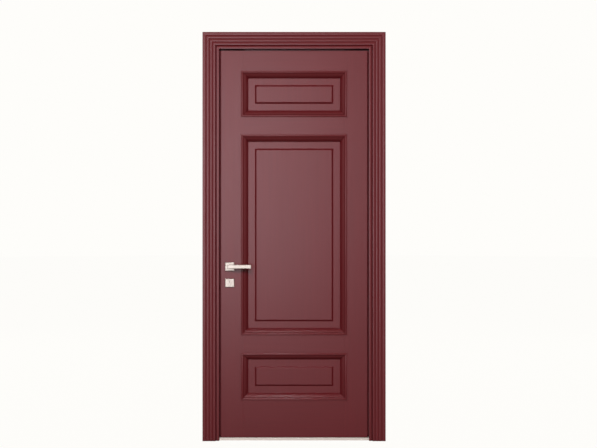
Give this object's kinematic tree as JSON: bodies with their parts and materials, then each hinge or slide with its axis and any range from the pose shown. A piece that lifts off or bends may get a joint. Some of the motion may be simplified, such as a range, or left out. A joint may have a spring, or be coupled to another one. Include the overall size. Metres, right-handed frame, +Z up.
{
  "type": "panelled front door with frame",
  "caption": "Panelled timber front door hung in a reeded frame: rebated leaf with raised panels, lever handles, sprung latch, and a dead bolt thrown by a lock cylinder.",
  "frame": {"origin": "on the floor, in the middle of the opening's width and of the frame's depth", "axes": "+X towards the hinges, +Y from the outside to the inside, +Z up; the reeded front faces -Y"},
  "size_m": [0.992, 0.186, 2.216],
  "materials": {
    "paint": "satin burgundy paint",
    "satin_nickel": "satin nickel",
    "steel": "zinc plated",
    "seal_rubber": "matt",
    "sill_metal": "pale anodised"
  },
  "bodies": {
    "frame": {"jamb_left": "paint", "jamb_right": "paint", "head_jamb": "paint", "casing_front_left": "paint", "casing_front_right": "paint", "casing_front_head": "paint", "casing_back_left": "paint", "casing_back_right": "paint", "casing_back_head": "paint", "seal_left": "seal_rubber", "seal_right": "seal_rubber", "seal_head": "seal_rubber", "threshold": "sill_metal", "strike_plate": "steel", "strike_screws": "steel", "hinge_frame_top": "steel", "hinge_frame_middle": "steel", "hinge_frame_bottom": "steel", "hinge_frame_screws": "steel", "hinge_pins": "steel"},
    "leaf": {"stile_lock": "paint", "stile_hinge": "paint", "rail_top": "paint", "rail_frieze": "paint", "rail_lower": "paint", "rail_bottom": "paint", "panel_top": "paint", "panel_middle": "paint", "panel_bottom": "paint", "moulding_front_top": "paint", "moulding_front_middle": "paint", "moulding_front_bottom": "paint", "moulding_back_top": "paint", "moulding_back_middle": "paint", "moulding_back_bottom": "paint", "rose_front": "satin_nickel", "rose_back": "satin_nickel", "escutcheon_front": "satin_nickel", "escutcheon_back": "satin_nickel", "cylinder_body": "satin_nickel", "hinge_leaf_top": "steel", "hinge_leaf_middle": "steel", "hinge_leaf_bottom": "steel", "hinge_leaf_screws": "steel", "lock_case": "steel", "lock_cover": "steel", "forend": "steel", "forend_screws": "steel", "cylinder_screw": "steel", "rose_bolts": "steel"},
    "handle": {"lever_front": "satin_nickel", "lever_back": "satin_nickel", "spindle": "steel", "follower": "steel"},
    "latch": {"latch_bolt": "steel"},
    "key": {"cylinder_plug": "satin_nickel", "cam": "steel", "thumbturn": "satin_nickel"},
    "bolt": {"dead_bolt": "steel"}
  },
  "joints": [
    {"name": "leaf_swing", "type": "hinge", "parent": "frame", "child": "leaf", "pos_m": [0.4215, 0.0393, 1.075], "axis": [0, 0, -1], "range_deg": [0, 100]},
    {"name": "lever_turn", "type": "hinge", "parent": "leaf", "child": "handle", "pos_m": [-0.3495, 0, 0.946], "axis": [0, 1, 0], "range_deg": [0, 40], "stiffness_Nm_per_rad": 1.5, "springref_deg": -28.65},
    {"name": "latch_slide", "type": "slide", "parent": "leaf", "child": "latch", "axis": [1, 0, 0], "range_m": [0, 0.0111]},
    {"name": "key_turn", "type": "hinge", "parent": "leaf", "child": "key", "pos_m": [-0.3495, 0, 0.861], "axis": [0, 1, 0], "range_deg": [0, 360]},
    {"name": "bolt_throw", "type": "slide", "parent": "leaf", "child": "bolt", "axis": [-1, 0, 0], "range_m": [0, 0.02]}
  ],
  "couplings": [
    {"joint": "latch_slide", "follows": "lever_turn", "m_per_rad": 0.015756},
    {"joint": "key_turn", "follows": "bolt_throw", "rad_per_m": 314.15}
  ]
}
